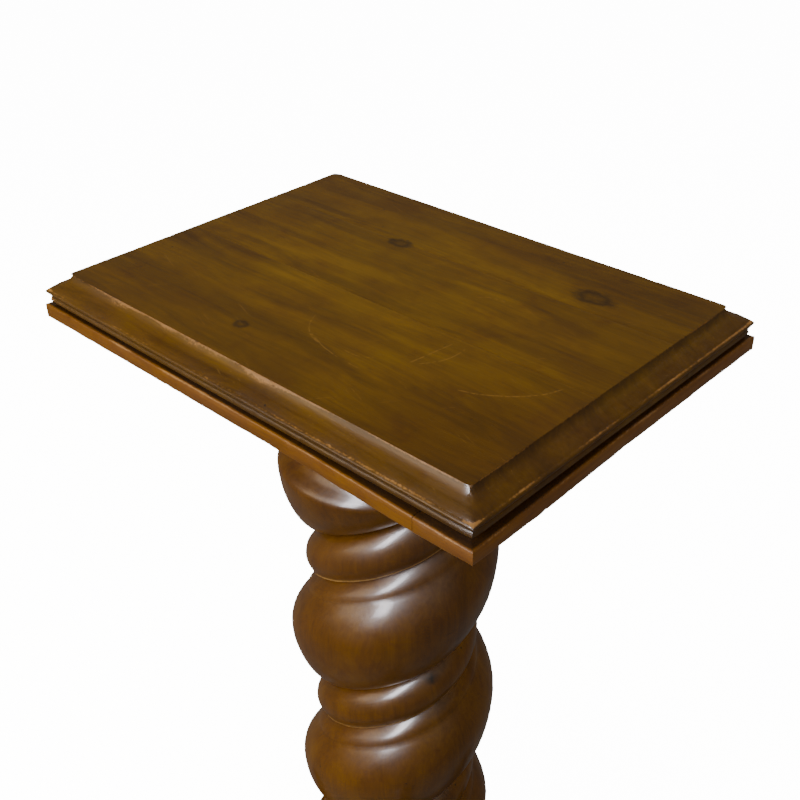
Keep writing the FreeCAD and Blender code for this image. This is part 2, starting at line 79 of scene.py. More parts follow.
def arc(start, end, bulge, steps):
    """Points on a round arc that bulges to the left of its way, or to the right below 0."""
    start, end = Vector(start), Vector(end)
    chord = end - start
    left = Vector((-chord.y, chord.x)).normalized()
    radius = (chord.length_squared / 4 + bulge * bulge) / (2 * bulge)
    centre = (start + end) / 2 + left * (bulge - radius)
    turn = -2 * math.copysign(math.asin(min(chord.length / 2 / abs(radius), 1.0)), bulge)
    spoke = start - centre
    return [centre + spoke @ Matrix.Rotation(-turn * step / steps, 2) for step in range(steps + 1)]


def mesh_piece(name, points, faces, material, body, node, marks, sharp=38):
    """A piece from points in millimetres, in place of a CAD node. Marks are one number per
    point, by name. Edges that turn by more than sharp degrees stay crisp."""
    mesh = bpy.data.meshes.new(name)
    mesh.from_pydata([Vector(point) * MM for point in points], [], faces)
    for mark, values in marks.items():
        mesh.attributes.new(mark, "FLOAT", "POINT").data.foreach_set("value", values)
    work = bmesh.new()
    work.from_mesh(mesh)
    bmesh.ops.recalc_face_normals(work, faces=work.faces)
    limit = math.radians(sharp)
    for face in work.faces:
        face.smooth = True
    for edge in work.edges:
        edge.smooth = len(edge.link_faces) == 2 and edge.calc_face_angle(0.0) < limit
    work.to_mesh(mesh)
    work.free()
    mesh.materials.append(material)
    piece = bpy.data.objects.new(name, mesh)
    bpy.context.scene.collection.objects.link(piece)
    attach(piece, body)
    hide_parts(node)


def ring_faces(first, second):
    """Quads between two closed loops of point numbers of the same length."""
    after = [*range(1, len(first)), 0]
    return [(first[i], first[j], second[j], second[i]) for i, j in enumerate(after)]


# ---------------------------------------------------------------- shader helpers

class Tree:
    """A material's node tree, with short ways to add nodes."""

    def __init__(self, name):
        self.material = bpy.data.materials.new(name)
        self.material.use_nodes = True
        self.nodes = self.material.node_tree.nodes
        self.links = self.material.node_tree.links
        self.shader = self.nodes["Principled BSDF"]

    def feed(self, socket, value):
        if isinstance(value, bpy.types.NodeSocket):
            self.links.new(value, socket)
        else:
            socket.default_value = value

    def add(self, kind, inputs=None, output=0, **settings):
        node = self.nodes.new("ShaderNode" + kind)
        for name, value in settings.items():
            setattr(node, name, value)
        for name, value in (inputs or {}).items():
            self.feed(node.inputs[name], value)
        return node.outputs[output]

    def math(self, operation, *values):
        return self.add("Math", dict(enumerate(values)), operation=operation)

    def vector(self, operation, *values, output=0):
        return self.add("VectorMath", dict(enumerate(values)), output=output, operation=operation)

    def noise(self, vector, scale, detail=3.0, roughness=0.5, distortion=0.0):
        return self.add("TexNoise", {"Vector": vector, "Scale": scale, "Detail": detail,
                                     "Roughness": roughness, "Distortion": distortion})

    def stretch(self, vector, scale):
        return self.add("Mapping", {"Vector": vector, "Scale": scale})

    def range(self, value, low, high, to_low=0.0, to_high=1.0):
        return self.add("MapRange", {"Value": value, "From Min": low, "From Max": high,
                                     "To Min": to_low, "To Max": to_high},
                        interpolation_type="SMOOTHSTEP")

    def ramp(self, value, *stops):
        node = self.nodes.new("ShaderNodeValToRGB")
        self.feed(node.inputs[0], value)
        while len(node.color_ramp.elements) < len(stops):
            node.color_ramp.elements.new(0.5)
        for element, (place, colour) in zip(node.color_ramp.elements, stops):
            element.position = place
            element.color = (*colour, 1)
        return node.outputs[0]

    def mix(self, share, first, second, blend="MIX"):
        node = self.nodes.new("ShaderNodeMix")
        node.data_type = "RGBA"
        node.blend_type = blend
        for number, value in ((0, share), (6, first), (7, second)):
            plain_colour = isinstance(value, tuple)
            self.feed(node.inputs[number], (*value, 1) if plain_colour else value)
        return node.outputs[2]

    def mark(self, name):
        return self.add("Attribute", attribute_name=name, output="Fac")

    def place(self):
        """Object coordinates, in millimetres."""
        return self.vector("MULTIPLY", self.add("TexCoord", output="Object"), (1 / MM,) * 3)

    def bump(self, height, strength, distance_mm):
        return self.add("Bump", {"Height": height, "Strength": strength, "Distance": distance_mm * MM})


def along(axis, lengthwise, crosswise):
    """A scale that differs along the grain's axis."""
    return tuple(lengthwise if index == axis else crosswise for index in range(3))


def knot_mask(tree, place, knots):
    """1 in a knot and 0 away from it: an ellipse with a ragged edge, for each
    (x, y, length, width)."""
    ragged = tree.noise(place, 0.18, detail=4)
    total = None
    for x, y, length, width in knots:
        offset = tree.vector("SUBTRACT", place, (x, y, TOP_Z))
        scaled = tree.vector("MULTIPLY", offset, (2 / length, 2 / width, 0))
        reach = tree.vector("LENGTH", scaled, output="Value")
        reach = tree.math("ADD", reach, tree.math("MULTIPLY", tree.math("SUBTRACT", ragged, 0.5), 0.9))
        heart = tree.range(reach, 0.2, 0.75, 0.45, 1.0)
        spot = tree.math("MULTIPLY", tree.range(reach, 0.65, 1.25, 1.0, 0.0), heart)
        total = spot if total is None else tree.math("MAXIMUM", total, spot)
    return total


def pit_mask(tree, place):
    """1 in small pits and old worm holes, in about one cell in six."""
    cell = tree.nodes.new("ShaderNodeTexVoronoi")
    tree.feed(cell.inputs["Vector"], place)
    tree.feed(cell.inputs["Scale"], 0.085)
    chosen = tree.range(tree.add("SeparateColor", {"Color": cell.outputs["Color"]}), 0.82, 0.86)
    near = tree.range(cell.outputs["Distance"], 0.05, 0.09, 1.0, 0.0)
    return tree.math("MULTIPLY", near, chosen)


def hairline_mask(tree, place):
    """Fine short scratches from dusting and sliding, in two directions."""
    total = None
    for turn, seed in ((0.35, 3.0), (-0.9, 41.0)):
        turned = tree.add("Mapping", {"Vector": place, "Rotation": (0, 0, turn),
                                      "Location": (seed, seed, 0)})
        fine = tree.noise(tree.stretch(turned, (0.035, 1, 1)), 0.8, detail=1)
        patch = tree.range(tree.noise(turned, 0.02, detail=1), 0.5, 0.62)
        line = tree.math("MULTIPLY", tree.range(fine, 0.70, 0.76, 0.0, 0.6), patch)
        total = line if total is None else tree.math("MAXIMUM", total, line)
    return total


def scratch_mask(tree, place, scratches):
    """Fine scratches, and a thin broken arc for each (centre x, centre y, radius, start
    degrees, end degrees, width)."""
    shaky = tree.noise(place, 0.05, detail=2)
    broken = tree.range(tree.noise(place, 0.35, detail=2), 0.38, 0.55)
    total = hairline_mask(tree, place)
    for x, y, radius, start, end, width in scratches:
        offset = tree.vector("MULTIPLY", tree.vector("SUBTRACT", place, (x, y, TOP_Z)), (1, 1, 0))
        reach = tree.math("ADD", tree.vector("LENGTH", offset, output="Value"),
                          tree.math("MULTIPLY", shaky, 3.0))
        away = tree.math("ABSOLUTE", tree.math("SUBTRACT", reach, radius + 1.5))
        line = tree.range(away, width * 0.3, width, 1.0, 0.0)
        middle = math.radians((start + end) / 2)
        heading = tree.vector("DOT_PRODUCT", tree.vector("NORMALIZE", offset),
                              (math.cos(middle), math.sin(middle), 0), output="Value")
        spread = math.cos(math.radians(abs(end - start) / 2))
        inside = tree.range(heading, spread, spread + (1 - spread) * 0.25)
        total = tree.math("MAXIMUM", total, tree.math("MULTIPLY", line, inside))
    return tree.math("MULTIPLY", total, broken)


# What darkens or pales the wood's own tones, painted shade and painted highlight among them.
CLOUD_TINT = (0.72, 0.62, 0.45)
BLOTCH_TINT = (0.60, 0.42, 0.30)
# Painted shade, laid on where the mesh's shade mark says.
SHADE_TINT = (0.66, 0.58, 0.60)
PORE_DARK = (0.012, 0.006, 0.0005)
PIT_DARK = (0.008, 0.004, 0.0004)
KNOT_DARK = (0.014, 0.0065, 0.0005)
# Painted shade for hollows, creases and gaps, with some grime.
SHADE_AND_GRIME_DARK = (0.005, 0.0025, 0.0004)
# Paler wear, and a painted highlight along arrises.
WORN_AND_LIT_PALE = (0.27, 0.125, 0.030)
SCRATCH_PALE = (0.24, 0.125, 0.03)


def wood(name, axis, tones, shift, spread=0.2, roughness=0.34, coat=0.2, knots=(), scratches=(),
         worn_and_lit=WORN_AND_LIT_PALE, pore=0.3):
    """Polished wood with its grain along an axis. Tones are dark, middle and light; a wider spread
    makes a quieter figure. Marks on the mesh say where it is darkened with painted shade, where painted
    shade and some grime darken its hollows, and where it is worn and carries a painted highlight."""
    tree = Tree(name)
    place = tree.place()
    shifted = tree.vector("ADD", place, shift)
    swell = tree.noise(tree.stretch(shifted, along(axis, 0.25, 1)), 0.02, detail=2)
    push = tree.vector("MULTIPLY", tree.vector("SUBTRACT", swell, (0.5, 0.5, 0.5)), along(axis, 0, 30))
    bent = tree.vector("ADD", shifted, push)
    figure = tree.noise(tree.stretch(bent, along(axis, 0.10, 1)), 0.045, detail=5, roughness=0.55,
                        distortion=0.6)
    streak = tree.noise(tree.stretch(bent, along(axis, 0.03, 1)), 0.45, detail=4, roughness=0.6)
    fleck = tree.noise(tree.stretch(bent, along(axis, 0.06, 1)), 2.2, detail=2)
    cloud = tree.noise(shifted, 0.016, detail=3, roughness=0.6)
    blotch = tree.noise(shifted, 0.045, detail=4, roughness=0.65)
    speckle = tree.noise(shifted, 0.5, detail=3, roughness=0.7)

    dark, middle, light = tones
    tone = tree.math("ADD", tree.math("MULTIPLY", figure, 0.62), tree.math("MULTIPLY", streak, 0.38))
    colour = tree.ramp(tone, (0.5 - spread, dark), (0.5, middle), (0.5 + spread, light))
    colour = tree.mix(tree.range(cloud, 0.35, 0.7, 0.0, 0.6), colour, CLOUD_TINT, "MULTIPLY")
    colour = tree.mix(tree.range(blotch, 0.52, 0.78, 0.0, 0.45), colour, BLOTCH_TINT, "MULTIPLY")
    # Painted shade: darker towards the top's edges, its front right corner and its lower slope.
    colour = tree.mix(tree.mark("shade"), colour, SHADE_TINT, "MULTIPLY")
    pores = tree.range(fleck, 0.60, 0.70)
    colour = tree.mix(tree.math("MULTIPLY", pores, pore), colour, PORE_DARK)
    pits = pit_mask(tree, shifted)
    colour = tree.mix(tree.math("MULTIPLY", pits, 0.85), colour, PIT_DARK)
    if knots:
        spots = knot_mask(tree, place, knots)
        colour = tree.mix(tree.math("MULTIPLY", spots, 0.75), colour, KNOT_DARK)
    # Painted shade in hollows, creases and the gap above the banding, together with the column's dark
    # knot and a little random grime.
    shade_and_dirt = tree.math("ADD", tree.mark("shade_and_grime"), tree.math("MULTIPLY", speckle, 0.3))
    shade_and_grime = tree.range(shade_and_dirt, 0.35, 1.1)
    colour = tree.mix(tree.math("MULTIPLY", shade_and_grime, 0.9), colour, SHADE_AND_GRIME_DARK)
    # Paler where worn, with a painted highlight along arrises, on the top's front slope and on the
    # column's lip.
    ragged = tree.math("MULTIPLY", tree.math("SUBTRACT", speckle, 0.5), 1.1)
    wear_and_highlight = tree.range(tree.math("ADD", tree.mark("wear_and_highlight"), ragged), 0.5, 0.95)
    colour = tree.mix(tree.math("MULTIPLY", wear_and_highlight, 0.8), colour, worn_and_lit)
    shine = tree.math("ADD", tree.range(cloud, 0.3, 0.7, roughness - 0.05, roughness + 0.09),
                      tree.math("MULTIPLY", wear_and_highlight, 0.15))
    if scratches:
        lines = scratch_mask(tree, place, scratches)
        colour = tree.mix(tree.math("MULTIPLY", lines, 0.5), colour, SCRATCH_PALE)
    tree.feed(tree.shader.inputs["Base Color"], colour)
    tree.feed(tree.shader.inputs["Roughness"], shine)
    height = tree.math("SUBTRACT", tree.math("MULTIPLY", streak, 0.35),
                       tree.math("MULTIPLY", pores, 0.6))
    height = tree.math("ADD", height, tree.math("MULTIPLY", cloud, 2.0))
    height = tree.math("SUBTRACT", height, tree.math("MULTIPLY", pits, 1.5))
    tree.feed(tree.shader.inputs["Normal"], tree.bump(height, 0.3, 0.2))
    tree.shader.inputs["Specular IOR Level"].default_value = 0.35
    tree.shader.inputs["Coat Weight"].default_value = coat
    tree.shader.inputs["Coat Roughness"].default_value = 0.16
    return tree.material


def metal(name, colour, dull, roughness):
    """Tarnished metal: brighter where it is rubbed, dull and rough where it isn't."""
    tree = Tree(name)
    place = tree.place()
    patches = tree.noise(place, 0.22, detail=5, roughness=0.65)
    fine = tree.noise(tree.stretch(place, (1, 0.1, 1)), 4.0, detail=2)
    tarnish = tree.range(patches, 0.38, 0.66)
    tree.feed(tree.shader.inputs["Base Color"], tree.mix(tarnish, colour, dull))
    tree.feed(tree.shader.inputs["Roughness"], tree.range(tarnish, 0, 1, roughness, roughness + 0.25))
    tree.feed(tree.shader.inputs["Normal"], tree.bump(fine, 0.2, 0.05))
    tree.shader.inputs["Metallic"].default_value = 1.0
    return tree.material


# ---------------------------------------------------------------- the materials

# Each wood's dark, middle and light tones.
WALNUT = ((0.054, 0.0260, 0.0001), (0.100, 0.0505, 0.0001), (0.150, 0.0790, 0.0002))
EDGE_WALNUT = ((0.090, 0.0320, 0.0003), (0.150, 0.0570, 0.0006), (0.215, 0.0880, 0.0015))
COLUMN_WALNUT = ((0.050, 0.0165, 0.0002), (0.102, 0.0400, 0.0003), (0.152, 0.0660, 0.0006))
BEECH = ((0.080, 0.0420, 0.0140), (0.130, 0.0720, 0.0260), (0.190, 0.1120, 0.0450))

# Knots as (x, y, length, width) and scratches as (centre x, centre y, radius, start, end, width),
# on the top's field. The shifts give each board its own figure.
KNOTS = ((123, 89, 34, 20), (-48, 67, 24, 14), (-39, -106, 13, 10))
SCRATCHES = (
    (113, -1, 72, -78, -20, 0.7),
    (-284, 1, 375, -10.5, -4.5, 0.6),
    (66, -37, 36, -49, 14, 0.6),
    (29, -48, 41, -165, -100, 0.55),
    (59, 22, 116, -118, -86, 0.55),
    (47, -59, 25, -104, -44, 0.45),
    (76, 20, 22, 60, 140, 0.45),
)
BOARD_SHIFTS = {"front": (310, 40, 12), "middle": (-950, 260, 55), "rear": (2140, -330, 90)}


def make_materials():
    """Every material by name. The second argument is the axis that the grain runs along."""
    made = {"walnut_top_" + name: wood("walnut_top_" + name, 0, WALNUT, shift, knots=KNOTS,
                                       scratches=SCRATCHES)
            for name, shift in BOARD_SHIFTS.items()}
    made["banding_along_x"] = wood("banding_along_x", 0, EDGE_WALNUT, (77, 500, 31), roughness=0.4)
    made["banding_along_y"] = wood("banding_along_y", 1, EDGE_WALNUT, (-64, 830, 12), roughness=0.4)
    # The column's pale colour is brighter than the top's: along its lip it is a painted highlight as
    # well as wear.
    made["column"] = wood("column", 2, COLUMN_WALNUT, (12, 45, 230), spread=0.26, coat=0.3,
                          pore=0.2, worn_and_lit=(0.42, 0.24, 0.085))
    made["base"] = wood("base", 0, COLUMN_WALNUT, (512, -245, 30), spread=0.25, roughness=0.3,
                        coat=0.35)
    made["beech"] = wood("beech", 1, BEECH, (5, 66, 7), roughness=0.6, coat=0.0)
    made["beech_block"] = wood("beech_block", 0, BEECH, (45, -66, 17), roughness=0.6, coat=0.0)
    made["brass"] = metal("brass", (0.62, 0.43, 0.16), (0.22, 0.14, 0.05), 0.28)
    made["steel"] = metal("steel", (0.22, 0.21, 0.20), (0.06, 0.05, 0.045), 0.4)
    return made


# ---------------------------------------------------------------- the moulded top

def moulding_section():
    """(out, drop) from the field's arris down to the underside, in millimetres."""
    section = arc((-1.2, 0.0), (0.5, 0.9), -0.3, 4)
    section += arc((0.9, 1.7), (6.8, 7.5), 0.75, 8)
    section += arc((7.6, 8.0), (15.0, 11.5), -0.4, 8)
    section += arc((15.4, 11.7), (16.9, 14.4), -0.7, 5)
    section += map(Vector, ((16.3, 15.1), (12.0, 15.4), (11.0, 16.2), (11.4, 17.3)))
    section += arc((12.3, 17.5), (13.0, 23.1), -2.75, 9)
    section += map(Vector, ((12.5, 23.4), (9.5, 23.5), (9.1, 23.7), (9.0, BOARD_THICK)))
    return section


def nearness(point, spots, spread):
    """How near a section's point is to any of the spots, from 0 to 1."""
    return max(math.exp(-((point - Vector(spot)).length / spread) ** 2) for spot in spots)


def stations(half, joints=()):
    """Places along one side: close together near its ends and at the glue joints."""
    end = int(half - half % WEB_STEP - WEB_STEP)
    places = [*range(-end, end + 1, WEB_STEP)]
    places += [joint + step for joint in joints for step in (-0.7, 0.7)]
    places += [sign * (half - inset) for sign in (-1, 1) for inset in (0, 0.8, 2.2)]
    return sorted(set(round(place, 3) for place in places))


def spread_out(place, half, out):
    """A place along a side, moved out with the section near the side's ends."""
    reach = max(abs(place) - (half - CORNER_LENGTH), 0) / CORNER_LENGTH
    return place + math.copysign(reach * out, place)


# Where the section is rubbed and carries a painted highlight, and where its hollows are darkened with
# painted shade, as (out, drop).
ARRISES = ((0.0, 0.2), (0.5, 0.9), (15.6, 12.0), (15.5, 19.6))
SHADED_HOLLOWS = ((11.2, 16.2), (9.3, 23.6), (11.0, 17.4))
# How far down the section the boards' sag shows, and where its lowest bead starts.
SAG_REACH = 6.0
BEAD_TOP = 17.0
# The pale stretch of the front, rubbed and with a painted highlight: its drop, and where it starts and
# fades along the front.
RUBBED_AND_LIT_DROP = 3
RUBBED_AND_LIT_HALF = 5
RUBBED_AND_LIT_START = -185
RUBBED_AND_LIT_FADE = 20
# The slope of the moulding darkened with painted shade, and how far the painted shade at the front
# right corner reaches.
SLOPE_DROP = 10.5
SLOPE_HALF = 4
SLOPE_START = -160
CORNER_DARK = 150


def field_sag(x, y):
    """How far the old boards dip: gentle cupping, and a fine dip along each glue line."""
    wave = 0.16 * rough((x, y, 0), 85, 2.0) + 0.05 * rough((x, y, 0), 24, 5.0)
    joints = sum(math.exp(-((y - joint) / 0.8) ** 2) for joint in (JOINT_FRONT, JOINT_REAR))
    return 0.15 - wave + 0.10 * joints


def rubbed_and_lit_front(here, spot):
    """The front edge is painted pale under its arris, mostly left of the middle: wear, and a painted
    highlight where the light from the front left falls.
    """
    if here.y > -FIELD_Y + 0.1:
        return 0.0
    band = ease(1 - abs(spot.y - RUBBED_AND_LIT_DROP) / RUBBED_AND_LIT_HALF)
    left = ease((here.x - RUBBED_AND_LIT_START) / 40) * (1 - 0.75 * ease((here.x - RUBBED_AND_LIT_FADE) / 90))
    return band * left * (0.52 + 0.5 * rough(here, 22, 17.0))


def edge_point(x_place, y_place, spot, arris, hollow):
    """A point of the moulding with its wear and painted highlight, and its painted shade, from its
    place round the field. The painted highlight on the lowest bead fades out towards the right."""
    x = spread_out(x_place, FIELD_X, spot.x)
    y = spread_out(y_place, FIELD_Y, spot.x)
    here = Vector((x, y, TOP_Z - spot.y))
    rub = 0.35 + 0.5 * rough(here, 26, 3.0) + 0.5 * max(rough(here, 7, 9.0), 0)
    nick = max(rough(here, 5, 14.0) - 0.42, 0) * 3.2
    corner = math.exp(-((abs(x_place) - FIELD_X) ** 2 + (abs(y_place) - FIELD_Y) ** 2) / 1.2)
    bite = arris * (max(rub, 0) * 0.45 + nick) + (1.1 + 0.5 * arris) * corner
    inward = Vector((-math.copysign(1, x) if abs(abs(x_place) - FIELD_X) < 0.01 else 0,
                     -math.copysign(1, y) if abs(abs(y_place) - FIELD_Y) < 0.01 else 0, -0.5))
    dip = field_sag(x, y) if spot.y < SAG_REACH else 0.0
    point = here + inward * bite - Vector((0, 0, dip))
    wear_and_highlight = arris * (0.62 + 0.6 * rough(here, 38, 6.0) + 0.5 * corner) + bite * 0.25
    # Painted highlight: the lowest bead is paler on the left, nearer the light.
    wear_and_highlight *= ease((70 - x) / 120) if spot.y > BEAD_TOP else 1.0
    wear_and_highlight += rubbed_and_lit_front(here, spot)
    return point, min(max(wear_and_highlight, 0), 1), hollow


def painted_shade(point):
    """How much painted shade darkens a point: more towards the field's edges, the front right corner
    and, right of the middle, the slope of the moulding."""
    reach = Vector((point.x / FIELD_X, point.y / FIELD_Y)).length
    corner = ease(1 - Vector((point.x - FIELD_X, point.y + FIELD_Y)).length / CORNER_DARK)
    slope = ease(1 - abs(TOP_Z - point.z - SLOPE_DROP) / SLOPE_HALF)
    slope *= ease((point.x - SLOPE_START) / 220)
    shade = ease((reach - 0.25) / 0.9) * 0.7 + 0.6 * corner + 0.15 * rough(point, 60, 33.0)
    return min(max(shade, 0) + 0.9 * slope, 1.8)


def board_of(y):
    """The board that lies at a place across the grain."""
    if y < JOINT_FRONT:
        return "front"
    return "middle" if y < JOINT_REAR else "rear"


def make_top(materials):
    """The whole moulded top as one web of points, cut along the glue joints into three solids."""
    x_places = stations(FIELD_X)
    y_places = stations(FIELD_Y, (JOINT_FRONT, JOINT_REAR))
    round_trip = [(x, y_places[0]) for x in x_places[:-1]]
    round_trip += [(x_places[-1], y) for y in y_places[:-1]]
    round_trip += [(x, y_places[-1]) for x in reversed(x_places[1:])]
    round_trip += [(x_places[0], y) for y in reversed(y_places[1:])]
    section = moulding_section()
    points, wear_and_highlight, shade_and_grime, shade = [], [], [], []
    faces = {"front": [], "middle": [], "rear": []}

    def add(point, worn_and_lit=0.0, shade_and_dirt=0.0):
        points.append(point)
        wear_and_highlight.append(worn_and_lit)
        shade_and_grime.append(shade_and_dirt)
        shade.append(painted_shade(point))
        return len(points) - 1

    loops = []
    for spot in section:
        arris, hollow = nearness(spot, ARRISES, 1.3), nearness(spot, SHADED_HOLLOWS, 1.5)
        loops.append([add(*edge_point(x, y, spot, arris, hollow)) for x, y in round_trip])
    for upper, lower in zip(loops, loops[1:]):
        for face in ring_faces(upper, lower):
            faces[board_of(sum(points[corner].y for corner in face) / 4)].append(face)

    at = dict(zip(round_trip, loops[0]))
    for x in x_places[1:-1]:
        for y in y_places[1:-1]:
            at[x, y] = add(Vector((x, y, TOP_Z - field_sag(x, y))))
    for near, far in zip(y_places, y_places[1:]):
        for left, right in zip(x_places, x_places[1:]):
            corners = ((left, near), (right, near), (right, far), (left, far))
            faces[board_of((near + far) / 2)].append(tuple(at[corner] for corner in corners))

    turn = {place: index for index, place in enumerate(round_trip)}
    for joint, boards in ((JOINT_FRONT, ("front", "middle")), (JOINT_REAR, ("middle", "rear"))):
        joint = min(y_places, key=lambda y: abs(y - joint))
        right, left = turn[x_places[-1], joint], turn[x_places[0], joint]
        cross = [at[x, joint] for x in x_places]
        cross += [loop[right] for loop in loops[1:]] + [loop[left] for loop in reversed(loops[1:])]
        for board in boards:
            faces[board].append(tuple(cross))
    for board in faces:
        under = [number for number, (x, y) in zip(loops[-1], round_trip)
                 if board_of(y - 0.01) == board or board_of(y + 0.01) == board]
        faces[board].append(tuple(under))

    marks = {"wear_and_highlight": wear_and_highlight, "shade_and_grime": shade_and_grime, "shade": shade}
    for board, own in faces.items():
        used = sorted({number for face in own for number in face})
        renumber = {number: index for index, number in enumerate(used)}
        mesh_piece("top_board_%s_shaped" % board, [points[number] for number in used],
                   [tuple(renumber[number] for number in face) for face in own],
                   materials["walnut_top_" + board], "top", "top_board_" + board,
                   {mark: [values[number] for number in used] for mark, values in marks.items()})


# ---------------------------------------------------------------- the banding

# How far the corner hangs, and where along the front and the right side that starts.
DROOP = 3.2
DROOP_X = 40
DROOP_Y = 20
# How much the strips are worn thin under the same corner, and how far from it.
THINNED = 1.4
THIN_REACH = 70
STRIP_WIDTH = 35.0
SEAM_GAP = 0.25
PATCH_PROUD = 0.3
SEAM_X = node_box("banding_patch")[0].x


def droop(x, y):
    """The banding has come away at the front right corner and hangs a little lower there."""
    along_front = ease((x - DROOP_X) / (BAND_HIGH.x - DROOP_X)) if y < -FIELD_Y + 5 else 0
    along_right = ease((DROOP_Y - y) / (DROOP_Y - BAND_LOW.y)) if x > FIELD_X - 5 else 0
    return DROOP * max(along_front, along_right)


def strip_section(width, thick):
    """(in, up) round a strip's section, from its outer face, with softened arrises."""
    soft = 1.1
    return (arc((soft, 0), (0, soft), 0.3, 3) + [Vector((0, thick / 2))]
            + arc((0, thick - soft), (soft, thick), 0.3, 3)
            + [Vector((2.2, thick)), Vector((width, thick)), Vector((width, 0))])


def make_strip(name, start, end, cut_in, material, seed):
    """A strip from start to end of its outer edge. Cut_in is how its ends slant inward: 1 for a
    mitre, 0 for a butt. It is thinner underneath near the front right corner."""
    start, end = Vector(start), Vector(end)
    way = (end - start).normalized()
    inward = Vector((-way.y, way.x))
    thick = BAND_HIGH.z - BAND_LOW.z
    section = strip_section(STRIP_WIDTH, thick)
    steps = int((end - start).length / WEB_STEP)
    points, wear_and_highlight, shade_and_grime, loops = [], [], [], []
    for step in range(steps + 1):
        loop = []
        for spot in section:
            first = start + way * cut_in[0] * spot.x
            last = end - way * cut_in[1] * spot.x
            flat = first.lerp(last, step / steps) + inward * spot.x
            arris = nearness(spot, ((0.3, 0.3), (0.3, thick - 0.3)), 1.3)
            here = Vector((flat.x, flat.y, spot.y))
            rub = max(0.3 + 0.6 * rough(here, 18, seed) + 0.4 * rough(here, 6, seed + 3), 0)
            nick = max(rough(here, 5, seed + 8) - 0.45, 0) * 3.0
            bite = arris * (0.4 * rub + nick)
            wave = 0.18 * rough(here, 60, seed + 1) if spot.x < 2 else 0
            flat = flat + inward * (bite + 0.25 + wave)
            thin = ease(1 - (Vector((BAND_HIGH.x, BAND_LOW.y)) - flat).length / THIN_REACH)
            lift = spot.y + (bite * 0.7 + THINNED * thin if spot.y < thick / 2 else -bite * 0.7)
            point = Vector((flat.x, flat.y, BAND_LOW.z + lift - droop(flat.x, flat.y)))
            loop.append(len(points))
            points.append(point)
            wear_and_highlight.append(min(max(arris * (0.5 + 0.8 * rough(here, 30, seed + 5)) + bite * 0.2, 0), 1))
            # Painted shade over the strip's upper face, in the gap under the board, and a little on its
            # upper outer arris.
            shade_and_grime.append(0.72 if spot.x > 2 else 0.2 * (spot.y > thick - 2))
        loops.append(loop)
    faces = [face for first, second in zip(loops, loops[1:]) for face in ring_faces(first, second)]
    faces += [tuple(loops[0]), tuple(loops[-1])]
    mesh_piece(name + "_shaped", points, faces, material, "top", name,
               {"wear_and_highlight": wear_and_highlight, "shade_and_grime": shade_and_grime})


def make_banding(materials):
    """Four strips mitred round the top, and the patch let in at the front strip's right end."""
    front, right, rear = BAND_LOW.y, BAND_HIGH.x, BAND_HIGH.y
    left = -right
    x_wood, y_wood = materials["banding_along_x"], materials["banding_along_y"]
    make_strip("banding_front", (left, front), (SEAM_X - SEAM_GAP, front), (1, 0), x_wood, 11.0)
    make_strip("banding_patch", (SEAM_X + SEAM_GAP, front - PATCH_PROUD),
               (right, front - PATCH_PROUD), (0, 1), x_wood, 12.5)
    make_strip("banding_right", (right, front), (right, rear), (1, 1), y_wood, 13.0)
    make_strip("banding_rear", (right, rear), (left, rear), (1, 1), x_wood, 14.0)
    make_strip("banding_left", (left, rear), (left, front), (1, 1), y_wood, 15.0)


# ---------------------------------------------------------------- the column

# The twist's section up one turn: a bead with a hanging lip, a notch, the big roll and a cove.
PITCH = 174.0
BEAD_HALF = 25.0
BEAD_HEIGHT = 510.0
BEAD_ANGLE = math.radians(223.85)
BEAD_OUT = 75.0
NOTCH = 56.0
BEAD_LOW = 18.5
LIP = 69.0
LIP_ROOT = 62.5
ROLL_OUT = 92.0
ROLL_RISE = 98.0
ROLL_FULLNESS = 1.74
COVE_RISE = 18.0
COVE_OUT = 76.0
NECK_RADIUS = 78.0
FOOT_RADIUS = 80.0
FOOT_TENON = 30.0
HEAD_TENON = 25.0
TWIST_LOW = 150.0
TWIST_HIGH = 632.0
TWIST_GROWS = 40
TWIST_FADES = 16
KNOT_PLACE = Vector((69.5, -26.7, 419.0))
KNOT_SIZE = 9
CHECK_PLACE = Vector((86.7, -26.0, 493.0))
CHECK_HEIGHT = 20
CHECK_WIDTH = 3
WANDER = 7.0
WANDER_ANGLE = math.radians(-45)
# How many points the profile has on each of its small curves, on the roll and on its shoulder.
CURVE_STEPS = 10
ROLL_STEPS = 26
SHOULDER_STEPS = 12


